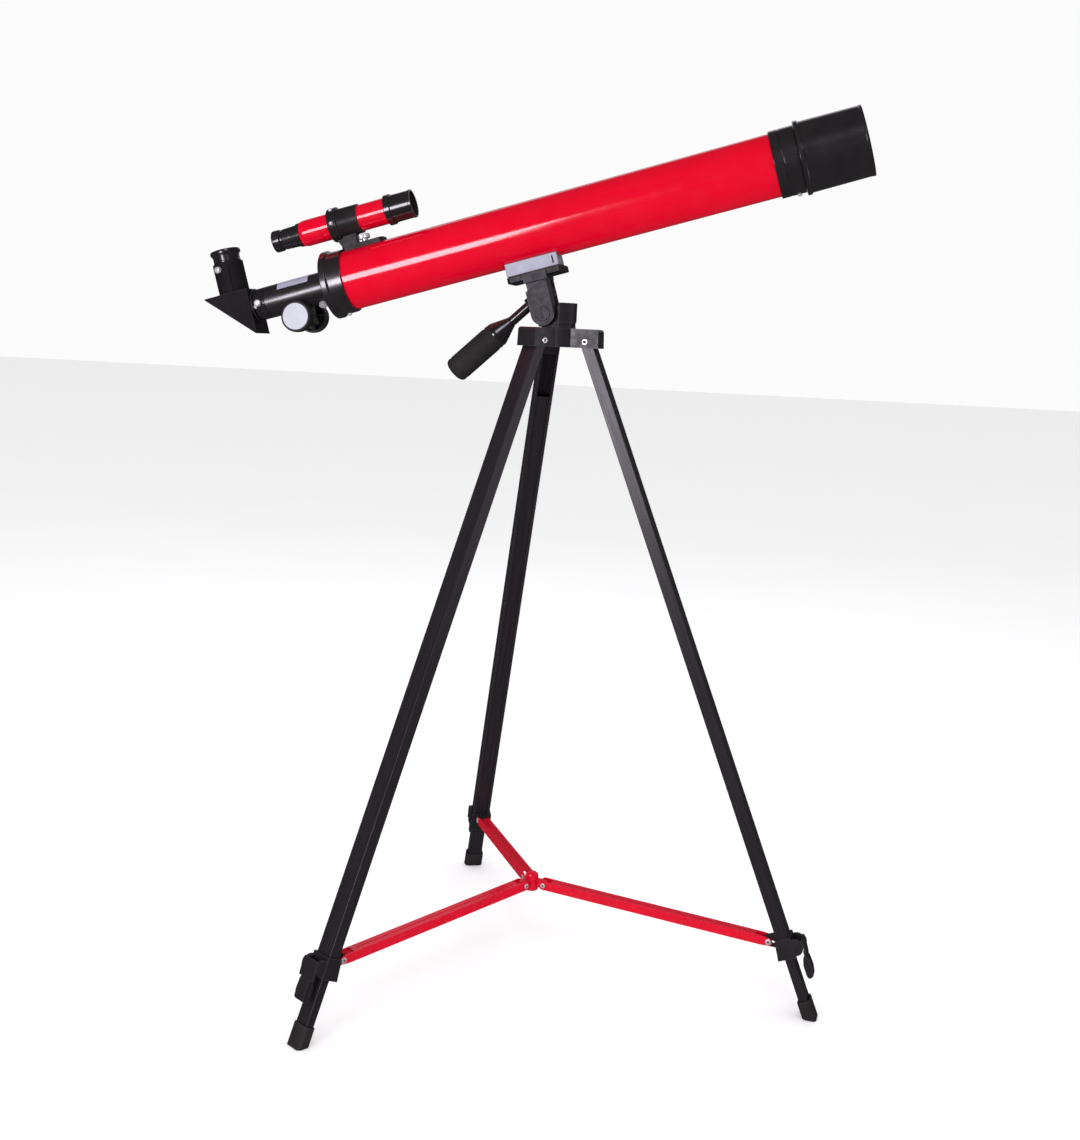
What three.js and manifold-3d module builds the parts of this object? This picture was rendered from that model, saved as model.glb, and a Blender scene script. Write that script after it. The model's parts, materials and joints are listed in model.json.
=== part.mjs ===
// A small refracting telescope on a folding tripod with a pan and tilt head.
// Millimetres, +Z up, with +X the direction that the tube heads in. The origin is on the
// floor, under the middle of the whole.

import * as THREE from 'three';
import { mergeVertices } from 'three/addons/utils/BufferGeometryUtils.js';
import Module from 'manifold-3d';

const wasm = await Module();
wasm.setup();

// ---------------------------------------------------------------- driving dimensions

const GAP = 0.3;                  // between two pieces that are fitted together

const TUBE_HEIGHT = 748.9;        // tube axis above the floor, over the tripod's centre
const TUBE_ELEVATION = 16.25;     // degrees above the horizon
const TUBE_RADIUS = 30;
const TUBE_REAR = -237.2;         // along the tube, from over the tripod's centre
const TUBE_FRONT = 212;
const SHIELD_FRONT = 293.3;

const FOCUSER_RADIUS = 16.4;
const FOCUSER_REAR = -315.5;
const DRAW_RADIUS = 14;
const BARREL_RADIUS = 12.25;      // 24.5 mm barrels, the size of simple eyepieces
const DRAW_REAR = -327.4;
const PINION_RADIUS = 8.3;
const KNOB = { s: -281.5, t: -24.1, radius: 15.6, inner: 17.5, outer: 29.5 };

const DIAGONAL = { rear: -378.2, front: -330.6, top: 17.9, bottom: -29.1, halfWidth: 17.9 };
const HOLDER = { s: -351, radius: 15.7, top: 50 };
const NOSE_SCREW_S = -321.7;
const LOCK = { from: [-256.8, 0, 0], direction: [0, -0.42, -0.91] };
const EYEPIECE_SCREW = { from: [HOLDER.s, 0, 43.3], direction: [-0.28, -0.96, 0] };

const FINDER_HEIGHT = 57.9;       // finder axis above the tube axis

const SADDLE = { rear: -64.3, front: -11.5, halfWidth: 15, bottom: -39.6 };
const PLATFORM = { rear: -64.5, front: -8.5, halfWidth: 20, top: -40.2, bottom: -46.2 };

const TILT = { s: -38.3, t: -81.5, cheekRadius: 11.8, tongueRadius: 11 };
const TILT_SLOT = 6.9;            // half the gap between the fork's cheeks
const TILT_HALF_WIDTH = 14.8;
const TILT_FRONT = 13.6;          // the body's front face, ahead of the tilt axis

const HANDLE_DROOP = 26.75;       // degrees between the handle and the tube
const HANDLE_OFFSET = 16.3;       // handle axis above the tilt axis

const CROWN = { top: 646.3, bottom: 628, core: 20, reach: 43.5, halfWidth: 12.2 };
const LEG_AZIMUTHS = [-4.6, -124.6, 115.4];
const LEG_PIVOT = { r: 30.14, z: 633.9 };
const FOOT_REACH = 282.2;         // leg centre line at the floor, from the tripod's centre
const UPPER = { halfThick: 5.8, halfWide: 9.5, wall: 1.2, top: 5.5 };
const LOWER = { halfThick: 4.25, halfWide: 7.9, wall: 1, top: -60, bottom: -674 };
const FOOT = { halfThick: 6.3, halfWide: 9.9, top: -663.5, chamfer: 2.6 };
const COLLAR = { top: -601, bottom: -620.5, innerTop: -7.3, innerBottom: -10.1, outer: 7.7,
  halfWide: 11.6 };
const CAM = { x: 9.3, z: -611.5, ear: 7.7, cover: 9.2 };
const KNEE = { r: 239, z: 68.8 }; // where a spreader arm meets its leg
const HUB_PIVOT = { r: 13.3, z: 87.1 };
const ARM = { halfWide: 6, halfHigh: 4.4, wall: 1.2, endRadius: 3.7 };
const KNEE_RIVET = { radius: 1.6, head: 3.2, headHigh: 0.8 };

const BIG = 400;                  // the size of a cutting block that reaches past everything

// ---------------------------------------------------------------- worked out from them

const RAD = Math.PI / 180;
const LEG_TILT = Math.atan2(FOOT_REACH - LEG_PIVOT.r, LEG_PIVOT.z);
const kneeOut = KNEE.r - LEG_PIVOT.r;
const kneeDown = LEG_PIVOT.z - KNEE.z;
// the knee pivot in a leg's own frame: x outwards across the leg, z up along it
const KNEE_X = kneeOut * Math.cos(LEG_TILT) - kneeDown * Math.sin(LEG_TILT);
const KNEE_Z = -kneeOut * Math.sin(LEG_TILT) - kneeDown * Math.cos(LEG_TILT);
const ARM_LENGTH = Math.hypot(KNEE.r - HUB_PIVOT.r, HUB_PIVOT.z - KNEE.z);
const ARM_SLOPE = Math.atan2(HUB_PIVOT.z - KNEE.z, KNEE.r - HUB_PIVOT.r);

// ---------------------------------------------------------------- materials

function finish(color, roughness, metalness) {
  return new THREE.MeshStandardMaterial({ color, roughness, metalness });
}

const RED = finish(0xc8102e, 0.25, 0.1);
const BLACK_GLOSS = finish(0x131314, 0.3, 0);
const BLACK_SATIN = finish(0x1c1c1e, 0.55, 0);
const HEAD_GREY = finish(0x26262a, 0.6, 0);
const ANODISED = finish(0x1a1a1c, 0.45, 0.6);
const RUBBER = finish(0x161616, 0.85, 0);
const SILVER = finish(0xb9bcc2, 0.4, 0.5);
const CHROME = finish(0xe0e2e6, 0.15, 1);
const GLASS = finish(0x9fb8b4, 0.05, 0);

// ---------------------------------------------------------------- solids

function solidOf(geometry) {
  const bare = geometry.clone();
  bare.deleteAttribute('normal');
  bare.deleteAttribute('uv');
  const merged = mergeVertices(bare, 1e-4);
  const index = merged.index.array;
  const kept = [];
  for (let i = 0; i < index.length; i += 3) {
    const [a, b, c] = [index[i], index[i + 1], index[i + 2]];
    if (a !== b && b !== c && c !== a) kept.push(a, b, c);
  }
  const mesh = new wasm.Mesh({
    numProp: 3,
    vertProperties: Float32Array.from(merged.attributes.position.array),
    triVerts: Uint32Array.from(kept),
  });
  return new wasm.Manifold(mesh);
}

function geometryOf(solid) {
  const { vertProperties, triVerts } = solid.getMesh();
  const geometry = new THREE.BufferGeometry();
  geometry.setAttribute('position', new THREE.BufferAttribute(vertProperties, 3));
  geometry.setIndex(new THREE.BufferAttribute(triVerts, 1));
  return geometry;
}

function join(...pieces) {
  return geometryOf(pieces.map(solidOf).reduce((sum, piece) => sum.add(piece)));
}

function cut(whole, ...tools) {
  return geometryOf(tools.map(solidOf).reduce((rest, tool) => rest.subtract(tool), solidOf(whole)));
}

function common(a, b) {
  return geometryOf(solidOf(a).intersect(solidOf(b)));
}

function box([x0, x1], [y0, y1], [z0, z1]) {
  const geometry = new THREE.BoxGeometry(x1 - x0, y1 - y0, z1 - z0);
  return geometry.translate((x0 + x1) / 2, (y0 + y1) / 2, (z0 + z1) / 2);
}

// A round bar between two points.
function rod(radius, from, to, sides = 16) {
  const start = new THREE.Vector3(...from);
  const end = new THREE.Vector3(...to);
  const along = end.clone().sub(start);
  const geometry = new THREE.CylinderGeometry(radius, radius, along.length(), sides);
  const turn = new THREE.Quaternion();
  turn.setFromUnitVectors(new THREE.Vector3(0, 1, 0), along.normalize());
  const middle = start.add(end).multiplyScalar(0.5);
  return geometry.applyQuaternion(turn).translate(middle.x, middle.y, middle.z);
}

// A solid of revolution about +X from [along, radius] points. A profile that doesn't
// start on the axis closes on itself, and makes a ring. Its outside runs towards +X.
function turned(profile, sides = 32) {
  const points = profile.map(([along, radius]) => new THREE.Vector2(radius, along));
  if (profile[0][1] > 0) points.push(points[0].clone());
  return new THREE.LatheGeometry(points, sides).rotateZ(-Math.PI / 2);
}

function ring(from, to, outer, inner, sides = 32) {
  return turned([[from, outer], [to, outer], [to, inner], [from, inner]], sides);
}

// Turns a piece made about +X so that it points along a direction from a point.
function aimed(geometry, from, direction) {
  const turn = new THREE.Quaternion();
  const unit = new THREE.Vector3(...direction).normalize();
  turn.setFromUnitVectors(new THREE.Vector3(1, 0, 0), unit);
  return geometry.applyQuaternion(turn).translate(...from);
}

// An outline in x and z, given thickness along y from y0 to y1.
function slab(outline, [y0, y1]) {
  const shape = new THREE.Shape(outline.map(([x, z]) => new THREE.Vector2(x, z)));
  const options = { depth: y1 - y0, bevelEnabled: false };
  const geometry = new THREE.ExtrudeGeometry(shape, options);
  return geometry.rotateX(Math.PI / 2).translate(0, y1, 0);
}

function arc(cx, cz, radius, fromDegrees, toDegrees, steps = 8) {
  const points = [];
  for (let i = 0; i <= steps; i++) {
    const angle = (fromDegrees + ((toDegrees - fromDegrees) * i) / steps) * RAD;
    points.push([cx + radius * Math.cos(angle), cz + radius * Math.sin(angle)]);
  }
  return points;
}

// A block with its four upright edges cut at 45 degrees.
function chamferedBlock([x0, x1], [y0, y1], [z0, z1], c) {
  const corners = [
    [x0 + c, y0], [x1 - c, y0], [x1, y0 + c], [x1, y1 - c],
    [x1 - c, y1], [x0 + c, y1], [x0, y1 - c], [x0, y0 + c],
  ];
  const shape = new THREE.Shape(corners.map(([x, y]) => new THREE.Vector2(x, y)));
  const options = { depth: z1 - z0, bevelEnabled: false };
  return new THREE.ExtrudeGeometry(shape, options).translate(0, 0, z0);
}

function put(group, name, geometry, material) {
  const mesh = new THREE.Mesh(geometry, material);
  mesh.name = name;
  group.add(mesh);
}

// A thumb screw that points outwards along +X, with its tip at the origin.
function thumbScrew(shaftRadius, shaft, headRadius, head) {
  return turned([
    [0, 0], [0, shaftRadius], [shaft, shaftRadius], [shaft, headRadius],
    [shaft + head - 0.6, headRadius], [shaft + head, headRadius - 0.6], [shaft + head, 0],
  ], 16);
}

// A rivet along y, with a head at each end.
function rivet(radius, halfSpan, headRadius, headHigh) {
  return aimed(turned([
    [-halfSpan - headHigh, 0], [-halfSpan - headHigh, headRadius * 0.7], [-halfSpan, headRadius],
    [-halfSpan, radius], [halfSpan, radius],
    [halfSpan, headRadius], [halfSpan + headHigh, headRadius * 0.7], [halfSpan + headHigh, 0],
  ], 12), [0, 0, 0], [0, 1, 0]);
}

// ---------------------------------------------------------------- optical tube
// In the tube's frame x runs forwards along the axis and z is up across it.

function addMainTube(tube) {
  const front = TUBE_FRONT;
  put(tube, 'main_tube', ring(TUBE_REAR, front, TUBE_RADIUS, TUBE_RADIUS - 1.4, 40), RED);
  put(tube, 'objective_cell', turned([
    [front - 5.4, 32], [front + 17.8, 32], [front + 17.8, 27.4], [front + 4.3, 27.4],
    [front + 4.3, 24.8], [front + 0.4, 24.8], [front + 0.4, TUBE_RADIUS + GAP],
    [front - 5.4, TUBE_RADIUS + GAP],
  ], 40), BLACK_GLOSS);
  put(tube, 'objective_lens', turned([
    [front + 4.6, 0], [front + 5, 13], [front + 6, 27.1], [front + 9.6, 27.1],
    [front + 10.6, 13], [front + 11, 0],
  ], 32), GLASS);
  put(tube, 'dew_shield', turned([
    [front + 11.4, 27.1], [front + 18.1, 27.1], [front + 18.1, 35.2], [front + 22.6, 35.2],
    [front + 22.9, 33.6], [SHIELD_FRONT, 33], [SHIELD_FRONT, 31.6], [front + 24, 31.6],
    [front + 20, 25.4], [front + 11.4, 25.4],
  ], 40), BLACK_GLOSS);
}

function addRearCollar(tube) {
  const back = TUBE_REAR - 10;
  put(tube, 'rear_collar', turned([
    [back, 33.2], [back + 1.2, 34.6], [back + 6, 34.6], [back + 8, 32.6],
    [back + 22.5, 32.2], [back + 22.5, TUBE_RADIUS + GAP], [back + 4, TUBE_RADIUS + GAP],
    [back + 4, FOCUSER_RADIUS + 0.4], [back, FOCUSER_RADIUS + 0.4],
  ], 40), BLACK_GLOSS);
}

function addFocuser(tube) {
  const flangeFront = TUBE_REAR - 0.4;
  const flangeBack = flangeFront - 5.1;
  const body = turned([
    [FOCUSER_REAR, FOCUSER_RADIUS], [flangeBack, FOCUSER_RADIUS], [flangeBack, 29.9],
    [flangeFront, 29.9], [flangeFront, DRAW_RADIUS + GAP], [FOCUSER_REAR, DRAW_RADIUS + GAP],
  ], 32);
  const gearCase = box([KNOB.s - 10, KNOB.s + 10], [-7.5, 7.5], [KNOB.t - 9.8, -14.8]);
  const rackGroove = box([FOCUSER_REAR - 1, TUBE_REAR + 1], [-2.6, 2.6], [-15.8, -12]);
  const pinionRoom = rod(PINION_RADIUS + 0.5, [KNOB.s, -5.5, KNOB.t], [KNOB.s, 5.5, KNOB.t], 24);
  const shaftHole = rod(2.3, [KNOB.s, -12, KNOB.t], [KNOB.s, 12, KNOB.t], 16);
  const screwHole = aimed(rod(1.8, [0, 0, 0], [22, 0, 0], 12), LOCK.from, LOCK.direction);
  const shell = cut(join(body, gearCase), rackGroove, pinionRoom, shaftHole, screwHole);
  put(tube, 'focuser_housing', shell, BLACK_GLOSS);

  const screw = thumbScrew(1.5, 2.6, 4.4, 4.6).translate(14.6, 0, 0);
  put(tube, 'focus_lock_screw', aimed(screw, LOCK.from, LOCK.direction), CHROME);
}

function addDrawTube(tube) {
  const pipe = turned([
    [DRAW_REAR, 15.7], [DRAW_REAR + 0.6, 16.3], [FOCUSER_REAR - 0.6, 16.3],
    [FOCUSER_REAR - 0.6, DRAW_RADIUS], [-215, DRAW_RADIUS], [-215, BARREL_RADIUS + GAP],
    [DRAW_REAR, BARREL_RADIUS + GAP],
  ], 32);
  const rack = box([FOCUSER_REAR - 1, -249.6], [-2.3, 2.3], [-15.5, -DRAW_RADIUS + 0.6]);
  const hole = rod(1.8, [NOSE_SCREW_S, -20, 0], [NOSE_SCREW_S, -10, 0], 12);
  put(tube, 'draw_tube', cut(join(pipe, rack), hole), BLACK_GLOSS);

  const screw = thumbScrew(1.5, 3.9, 3.6, 4.8).translate(12.9, 0, 0);
  put(tube, 'nose_screw', aimed(screw, [NOSE_SCREW_S, 0, 0], [0, -1, 0]), CHROME);
}

function focusKnob(side) {
  const { radius, inner, outer } = KNOB;
  const disc = turned([[outer - 2.6, 0], [outer - 2.6, radius - 1], [outer, radius - 1], [outer, 0]], 32);
  const hub = turned([[inner, 0], [inner, 4.5], [outer - 1, 4.5], [outer - 1, 0]], 20);
  const rib = box([inner + 1.5, outer - 1], [-0.7, 0.7], [-radius + 1, radius - 1]);
  const crossRib = box([inner + 1.5, outer - 1], [-radius + 1, radius - 1], [-0.7, 0.7]);
  const wall = ring(inner, outer - 1, radius, radius - 1.8, 32);
  const bore = rod(2.3, [inner - 1, 0, 0], [outer - 4, 0, 0], 16);
  const knob = cut(join(wall, disc, hub, rib, crossRib), bore);
  return aimed(knob, [KNOB.s, 0, KNOB.t], [0, side, 0]);
}

function addFocusDrive(tube) {
  const end = KNOB.outer - 4.4;
  const shaft = turned([
    [-end, 0], [-end, 2], [-5, 2], [-5, PINION_RADIUS], [5, PINION_RADIUS], [5, 2], [end, 2],
    [end, 0],
  ], 20);
  put(tube, 'pinion_shaft', aimed(shaft, [KNOB.s, 0, KNOB.t], [0, 1, 0]), SILVER);
  put(tube, 'focus_knob_near', focusKnob(-1), BLACK_SATIN);
  put(tube, 'focus_knob_far', focusKnob(1), BLACK_SATIN);
}

// ---------------------------------------------------------------- mirror diagonal and eyepiece

// A block whose x runs down the mirror towards the tube and whose z points into the light.
function mirrorBlock([x0, x1], [y0, y1], [z0, z1]) {
  return box([x0, x1], [y0, y1], [z0, z1]).rotateY(Math.PI / 4).translate(HOLDER.s, 0, 0);
}

function addDiagonal(tube) {
  const { rear, front, top, bottom, halfWidth } = DIAGONAL;
  const wedge = slab([
    [rear, top - 0.8], [front - 0.8, bottom], [front, bottom], [front, top], [rear, top],
  ], [-halfWidth, halfWidth]);
  const s = HOLDER.s;
  const holder = rod(HOLDER.radius, [s, 0, top - 6], [s, 0, HOLDER.top], 32);
  const bores = join(
    rod(11, [s - 12, 0, 0], [front + 1, 0, 0], 24),
    rod(11, [s, 0, -12], [s, 0, top + 2], 24),
  );
  const lightPath = common(bores, mirrorBlock([-40, 40], [-20, 20], [-0.2, 60]));
  const pocket = mirrorBlock([-22, 22], [-14.5, 14.5], [-3.8, 0.3]);
  const barrelBore = rod(BARREL_RADIUS + GAP, [s, 0, top + 1], [s, 0, HOLDER.top + 1], 32);
  const screwHole = aimed(rod(1.8, [8, 0, 0], [20, 0, 0], 12), EYEPIECE_SCREW.from,
    EYEPIECE_SCREW.direction);
  const shell = cut(join(wedge, holder), lightPath, pocket, barrelBore, screwHole);
  put(tube, 'diagonal_housing', shell, BLACK_SATIN);
  put(tube, 'diagonal_mirror', mirrorBlock([-21.5, 21.5], [-14, 14], [-3.5, 0]), CHROME);

  put(tube, 'diagonal_nose', turned([
    [front + GAP, 17.6], [front + 2.6, 17.6], [front + 2.6, BARREL_RADIUS],
    [front + 25, BARREL_RADIUS], [front + 25, 11], [front + GAP, 11],
  ], 32), CHROME);
  const screw = thumbScrew(1.5, 3.3, 3.4, 4.6).translate(12.9, 0, 0);
  put(tube, 'eyepiece_screw', aimed(screw, EYEPIECE_SCREW.from, EYEPIECE_SCREW.direction), CHROME);
}

function addEyepiece(tube) {
  const base = HOLDER.top + GAP;
  const from = [HOLDER.s, 0, base];
  const barrel = turned([
    [-26, BARREL_RADIUS], [0, BARREL_RADIUS], [0, 14.1], [8.5, 14.1], [9.3, 15.6],
    [12.6, 15.6], [13.4, 14.8], [13.4, 9], [9.2, 8], [9.2, 7.4], [8, 7.4], [8, 8.9], [-26, 10.9],
  ], 32);
  put(tube, 'eyepiece_barrel', aimed(barrel, from, [0, 0, 1]), BLACK_GLOSS);
  const lens = turned([[3.4, 0], [4.2, 8.4], [6.4, 8.4], [7.4, 0]], 24);
  put(tube, 'eye_lens', aimed(lens, from, [0, 0, 1]), GLASS);
}

// ---------------------------------------------------------------- finder scope

function addFinder(tube) {
  const finder = new THREE.Group();
  finder.position.z = FINDER_HEIGHT;
  tube.add(finder);
  put(finder, 'finder_tube', turned([
    [-264, 12.3], [-259.5, 13.3], [-163, 13.3], [-163, 12.2], [-258.5, 12.2], [-264, 11.2],
  ], 28), RED);
  put(finder, 'finder_eyepiece', turned([
    [-295, 10.4], [-294.2, 11.2], [-286.8, 11], [-286.2, 9.2], [-284.6, 9.2], [-284, 10.4],
    [-268.2, 11.2], [-267.8, 12], [-264.4, 12.2], [-264.4, 10.9], [-250, 10.9], [-250, 9.8],
    [-283, 7.6], [-290, 5.5], [-295, 7.5],
  ], 28), BLACK_GLOSS);
  put(finder, 'finder_front_cell', turned([
    [-170.7, 15.5], [-164.6, 15.5], [-164.2, 14], [-142.6, 13.9], [-142.6, 12.7],
    [-160.8, 12.7], [-160.8, 11], [-162.6, 11], [-162.6, 13.6], [-170.7, 13.6],
  ], 28), BLACK_GLOSS);
  put(finder, 'finder_lens', turned([
    [-160.5, 0], [-160.2, 12.4], [-158, 12.4], [-157, 0],
  ], 28), GLASS);
}

function addFinderBracket(tube) {
  const holderRing = turned([
    [-231.4, 16.7], [-230.4, 17.3], [-222.3, 17.3], [-221.3, 15], [-200, 14.8], [-200, 11],
    [-231.4, 11],
  ], 32).translate(0, 0, FINDER_HEIGHT);
  const stem = slab([
    [-230, 46], [-224, 33], [-224, 31], [-208, 31], [-208, 42.5], [-203, 47],
  ], [-5, 5]);
  const base = chamferedBlock([-224, -180], [-10, 10], [26, 33.5], 3);
  const finderBore = ring(-240, -195, 13.6, 0.01, 32).translate(0, 0, FINDER_HEIGHT);
  const tubeRoom = rod(TUBE_RADIUS + GAP, [-240, 0, 0], [-170, 0, 0], 40);
  const whole = join(holderRing, stem, base);
  put(tube, 'finder_bracket', cut(whole, finderBore, tubeRoom), BLACK_GLOSS);
  const nut = turned([[0, 0], [0, 3.2], [3, 3.2], [3, 5.9], [8, 5.9], [8, 0]], 20);
  put(tube, 'bracket_nut', aimed(nut, [-200.8, 0, 33.8], [0, 0, 1]), CHROME);
}

// ---------------------------------------------------------------- head

function addSaddle(tube) {
  const { rear, front, halfWidth, bottom } = SADDLE;
  const block = box([rear, front], [-halfWidth, halfWidth], [bottom, -20]);
  const tubeRoom = rod(TUBE_RADIUS + GAP, [rear - 5, 0, 0], [front + 5, 0, 0], 40);
  put(tube, 'tube_saddle', cut(block, tubeRoom), SILVER);
  const plate = PLATFORM;
  put(tube, 'head_platform', chamferedBlock([plate.rear, plate.front],
    [-plate.halfWidth, plate.halfWidth], [plate.bottom, plate.top], 3), BLACK_SATIN);
}

// The handle's frame: its origin is the point of the handle axis nearest the tilt axis,
// and +X runs out along the handle.
function alongHandle(geometry) {
  const droop = HANDLE_DROOP * RAD;
  const from = [
    TILT.s - HANDLE_OFFSET * Math.sin(droop), 0, TILT.t + HANDLE_OFFSET * Math.cos(droop),
  ];
  return geometry.rotateY(Math.PI - droop).translate(...from);
}

function addTiltBody(tube) {
  const { s, t, cheekRadius } = TILT;
  const top = PLATFORM.bottom - GAP;
  const front = s + TILT_FRONT;
  const outline = [
    [s - 9.7, top], [s - 8, t + 26], [s - 11.6, t + 23.5], ...arc(s, t, cheekRadius, 170, 360, 16),
    [front, t + 7], [front, top],
  ];
  const block = slab(outline, [-TILT_HALF_WIDTH, TILT_HALF_WIDTH]);
  const boss = alongHandle(rod(7.6, [1, 0, 0], [7.3, 0, 0], 20));
  const edge = -PLATFORM.halfWidth - GAP;
  const hingeBar = box([s - 9.7, front], [edge - 2.4, TILT_HALF_WIDTH], [top - 3.2, top]);
  const hingeEar = box([s - 9.7, front], [edge - 2.4, edge], [top - 3.2, PLATFORM.top - 0.9]);
  const slot = [-TILT_SLOT, TILT_SLOT];
  const tongueRoom = join(
    rod(TILT.tongueRadius + 0.5, [s, slot[0], t], [s, slot[1], t], 32),
    box([s - 11.5, s + 22], slot, [t - 20, t]),
    box([s, s + 22], slot, [t - 1, t + 14.5]),
  );
  const boltHole = rod(4.3, [s, -20, t], [s, 20, t], 20);
  const capRoom = rod(7.5, [s, -20, t], [s, -12.9, t], 24);
  const studHole = alongHandle(rod(2.8, [-6, 0, 0], [20, 0, 0], 16));
  const opening = rod(5.6, [front - 6, 0, t + 26.5], [front + 1, 0, t + 26.5], 24);
  const bevels = [-1, 1].map((side) => box([-4, 4], [-4, 4], [t - 20, top - 3.3])
    .rotateZ(Math.PI / 4).translate(front + 1.4, side * (TILT_HALF_WIDTH + 1.4), 0));
  const whole = join(block, boss, hingeBar, hingeEar);
  const body = cut(whole, tongueRoom, boltHole, capRoom, studHole, opening, ...bevels);
  put(tube, 'tilt_body', body, HEAD_GREY);
}

function addTiltBolt(tube) {
  const shaft = rod(4, [-14, 0, 0], [14, 0, 0], 20);
  const cap = rod(7.2, [-15.6, 0, 0], [-13.2, 0, 0], 24);
  const coinSlot = box([-17, -14.6], [-0.8, 0.8], [-5.5, 5.5]);
  const whole = cut(join(shaft, cap), coinSlot);
  put(tube, 'tilt_bolt', aimed(whole, [TILT.s, 0, TILT.t], [0, 1, 0]), HEAD_GREY);
}

function addHandle(tube) {
  const stud = turned([
    [-4, 0], [-4, 2.5], [7.6, 2.5], [7.6, 5], [30.5, 5], [30.5, 4], [95, 4], [95, 0],
  ], 20);
  put(tube, 'handle_rod', alongHandle(stud), BLACK_SATIN);
  const grip = turned([
    [95.3, 0], [95.3, 4.3], [30.8, 4.3], [30.8, 5.2], [49.3, 12.7], [104, 12.7],
    [107, 11.2], [108.4, 7], [108.4, 0],
  ], 28);
  put(tube, 'handle_grip', alongHandle(grip), RUBBER);
}

// The turntable stays upright, so it is made in the part's own frame.
function tiltAxis() {
  const e = TUBE_ELEVATION * RAD;
  return {
    x: TILT.s * Math.cos(e) - TILT.t * Math.sin(e),
    z: TUBE_HEIGHT + TILT.s * Math.sin(e) + TILT.t * Math.cos(e),
  };
}

function addPanBase(part) {
  const { x, z } = tiltAxis();
  const floor = CROWN.top + GAP;
  const half = TILT_SLOT - 0.4;
  const disc = rod(17, [0, 0, floor], [0, 0, floor + 1], 32);
  const spigot = rod(8, [0, 0, floor + 0.5], [0, 0, floor - 11], 24);
  const lobe = rod(TILT.tongueRadius, [x, -half, z], [x, half, z], 32);
  const web = box([x - 5, 6], [-half, half], [floor + 0.5, z + 8]);
  const column = common(rod(17.2, [0, 0, floor + 5.5], [0, 0, 671], 32),
    box([2.5, 20], [-20, 20], [0, 700]));
  const foot = common(rod(16.4, [0, 0, floor + 0.5], [0, 0, floor + 6], 32),
    box([2.5, 20], [-20, 20], [0, 700]));
  const boltHole = rod(4.3, [x, -20, z], [x, 20, z], 20);
  const base = cut(join(disc, spigot, lobe, web, column, foot), boltHole);
  put(part, 'pan_base', base, BLACK_SATIN);
}

// ---------------------------------------------------------------- tripod

function crownLug() {
  const { top, bottom, reach, halfWidth } = CROWN;
  return slab([
    [8, bottom], [reach, bottom], [reach - 0.6, top - 2], [reach - 2.6, top], [8, top],
  ], [-halfWidth, halfWidth]);
}

function crownPocket() {
  const { top, bottom, reach, halfWidth } = CROWN;
  const room = UPPER.halfWide + GAP;
  return box([19.5, reach - 2.1], [-room, room], [bottom - 2, top - 3.1]);
}

function addCrown(part) {
  const core = rod(CROWN.core, [0, 0, CROWN.bottom], [0, 0, CROWN.top], 32);
  const turn = (geometry, azimuth) => geometry.rotateZ(azimuth * RAD);
  const lugs = LEG_AZIMUTHS.map((azimuth) => turn(crownLug(), azimuth));
  const cuts = LEG_AZIMUTHS.flatMap((azimuth) => [
    turn(crownPocket(), azimuth),
    turn(rod(2.3, [LEG_PIVOT.r, -20, LEG_PIVOT.z], [LEG_PIVOT.r, 20, LEG_PIVOT.z], 12), azimuth),
  ]);
  const spigotHole = rod(8.3, [0, 0, CROWN.top - 11.5], [0, 0, CROWN.top + 5], 24);
  put(part, 'crown', cut(join(core, ...lugs), spigotHole, ...cuts), BLACK_SATIN);
}

function boxSection({ halfThick: a, halfWide: b, wall }, [z0, z1]) {
  const bar = box([-a, a], [-b, b], [z0, z1]);
  const hollow = box([-a + wall, a - wall], [-b + wall, b - wall], [z0 - 1, z1 + 1]);
  return cut(bar, hollow);
}

// The upper leg is open along its inner side, between two lips that hold the lower leg.
function addUpperLeg(leg, number) {
  const bar = boxSection(UPPER, [COLLAR.bottom + 4.5, UPPER.top]);
  const hole = rod(2.3, [0, -20, 0], [0, 20, 0], 12);
  const lips = UPPER.halfWide - 2.6;
  const opening = box([-UPPER.halfThick - 1, 0], [-lips, lips], [COLLAR.top, -12]);
  put(leg, `upper_leg_${number}`, cut(bar, hole, opening), ANODISED);
}

function addLowerLeg(leg, number) {
  const bar = boxSection(LOWER, [LOWER.bottom, LOWER.top]);
  put(leg, `lower_leg_${number}`, bar, ANODISED);
}

// Everything under the floor, in a leg's own frame.
function underFloor() {
  const block = box([-BIG, BIG], [-BIG, BIG], [-BIG, 0]);
  return block.translate(-LEG_PIVOT.r, 0, -LEG_PIVOT.z).rotateY(LEG_TILT);
}

function addFoot(leg, number) {
  const { halfThick, halfWide, top, chamfer } = FOOT;
  const block = chamferedBlock([-halfThick, halfThick], [-halfWide, halfWide], [-700, top], chamfer);
  const [thick, wide] = [LOWER.halfThick + GAP, LOWER.halfWide + GAP];
  const socket = box([-thick, thick], [-wide, wide], [LOWER.bottom - GAP, top + 1]);
  put(leg, `foot_${number}`, cut(block, socket, underFloor()), RUBBER);
}

// The lug that a spreader arm is pinned to. Its hole is a slot, so that the pin has
// room while the tripod folds.
function kneeLug() {
  const rounded = [
    [COLLAR.innerBottom + 3, KNEE_Z - 9], [COLLAR.innerTop + 1, KNEE_Z + 5.2],
    ...arc(KNEE_X, KNEE_Z, 5.2, 70, 230, 10),
  ];
  return slab(rounded, [-3, 3]);
}

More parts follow.
